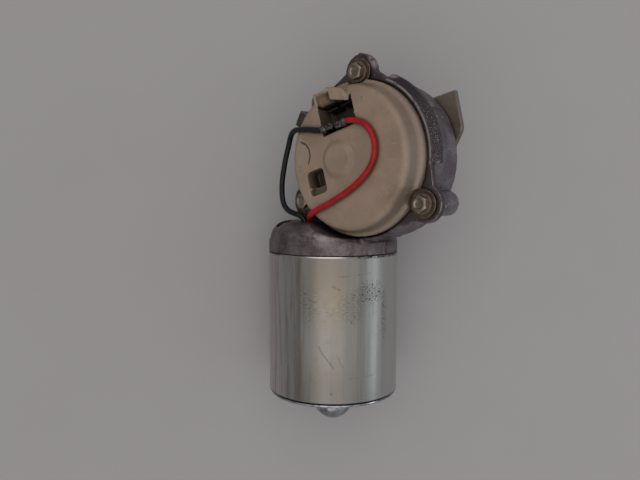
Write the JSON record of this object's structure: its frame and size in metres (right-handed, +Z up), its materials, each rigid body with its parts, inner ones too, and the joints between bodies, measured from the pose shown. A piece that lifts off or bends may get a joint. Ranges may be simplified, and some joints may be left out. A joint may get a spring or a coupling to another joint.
{
  "type": "electric motor",
  "caption": "Permanent-magnet electric motor with a worm gearbox: round steel can, cast gear housing, moulded cover with a connector socket, mounting bracket and angled output shaft.",
  "frame": {"origin": "on the bench under the middle of the motor's outline, the leads left out", "axes": "+Z up from the bench, +Y along the motor axis from the end cap to the gearbox; the output axis leans 41 degrees from the vertical, its shaft end towards +X and down"},
  "size_m": [0.0996, 0.1814, 0.0917],
  "materials": {
    "can_zinc": "zinc-plated steel, dull, scuffed",
    "cap_zinc": "zinc-plated steel, dull",
    "housing_cast": "die-cast, dark brownish purple film, worn at the edges",
    "cover_nylon": "cream moulded nylon, grimy",
    "screw_steel": "plated steel, tarnished",
    "washer_rust": "rusty steel",
    "bracket_zinc": "yellowed zinc plate",
    "shaft_steel": "ground steel",
    "nut_zinc": "zinc-plated steel",
    "ferrite": "sintered ferrite, matt dark grey",
    "lamination": "stacked electrical steel",
    "copper": "copper",
    "brass_sheet": "stamped brass",
    "bronze": "oil-filled sintered bronze",
    "carbon": "carbon-graphite",
    "phenolic": "brown laminate",
    "acetal": "natural acetal",
    "rubber_black": "black rubber",
    "terminal_tin": "tinned crimp with dark sleeve",
    "lead_red": "red insulated wire, glossy",
    "lead_black": "greenish black insulated wire, glossy"
  },
  "bodies": {
    "motor_frame": {"motor_can": "can_zinc", "end_cap": "cap_zinc", "rear_bearing": "bronze", "field_magnet_1": "ferrite", "field_magnet_2": "ferrite", "magnet_clip_1": "shaft_steel", "magnet_clip_2": "shaft_steel", "brush_plate": "phenolic", "brush_plate_screw_1": "screw_steel", "brush_plate_screw_2": "screw_steel", "brush_holder_1": "brass_sheet", "brush_holder_2": "brass_sheet", "brush_spring_1": "shaft_steel", "brush_spring_2": "shaft_steel", "front_bearing": "bronze", "worm_end_bearing": "bronze", "thrust_ball": "shaft_steel", "thrust_screw": "screw_steel", "thrust_lock_nut": "nut_zinc", "gear_housing": "housing_cast", "wire_grommet": "rubber_black", "output_bush_inner": "bronze", "output_bush_outer": "bronze", "gear_cover": "cover_nylon", "cover_gasket": "rubber_black", "cover_washer_1": "washer_rust", "cover_washer_2": "washer_rust", "cover_washer_3": "washer_rust", "cover_screw_1": "screw_steel", "cover_screw_2": "screw_steel", "cover_screw_3": "screw_steel", "connector_blade_1": "brass_sheet", "connector_blade_2": "brass_sheet", "connector_blade_3": "brass_sheet", "connector_blade_4": "brass_sheet", "black_terminal": "terminal_tin", "red_terminal": "terminal_tin", "park_contact_1": "brass_sheet", "park_contact_2": "brass_sheet", "mounting_bracket": "bracket_zinc", "bracket_screw_1": "screw_steel", "bracket_screw_2": "screw_steel", "bracket_screw_3": "screw_steel", "red_lead": "lead_red", "black_lead": "lead_black"},
    "armature": {"armature_shaft": "shaft_steel", "armature_core": "lamination", "armature_winding": "copper", "commutator": "copper"},
    "output": {"gear_wheel": "acetal", "output_shaft": "shaft_steel", "park_disc": "brass_sheet", "hub_circlip": "shaft_steel", "wheel_thrust_washer": "shaft_steel", "output_washer": "shaft_steel", "output_circlip": "shaft_steel", "output_nut": "nut_zinc"},
    "brush_slider_1": {"brush_1": "carbon"},
    "brush_slider_2": {"brush_2": "carbon"}
  },
  "joints": [
    {"name": "armature_spin", "type": "hinge", "parent": "motor_frame", "child": "armature", "pos_m": [-0.01685, -0.00345, 0.033], "axis": [0, 1, 0], "continuous": true},
    {"name": "output_spin", "type": "hinge", "parent": "motor_frame", "child": "output", "pos_m": [0.00426, 0.04215, 0.0514], "axis": [-0.6571, 0, 0.7538], "continuous": true},
    {"name": "brush_feed_1", "type": "slide", "parent": "motor_frame", "child": "brush_slider_1", "axis": [0.7538, 0, 0.6571], "range_m": [0, 0.002], "stiffness_N_per_m": 500, "springref_m": -0.01, "deforming": ["brush_spring_1"]},
    {"name": "brush_feed_2", "type": "slide", "parent": "motor_frame", "child": "brush_slider_2", "axis": [-0.7538, 0, -0.6571], "range_m": [0, 0.002], "stiffness_N_per_m": 500, "springref_m": -0.01, "deforming": ["brush_spring_2"]}
  ],
  "couplings": [
    {"joint": "output_spin", "follows": "armature_spin", "ratio": 0.021739}
  ]
}
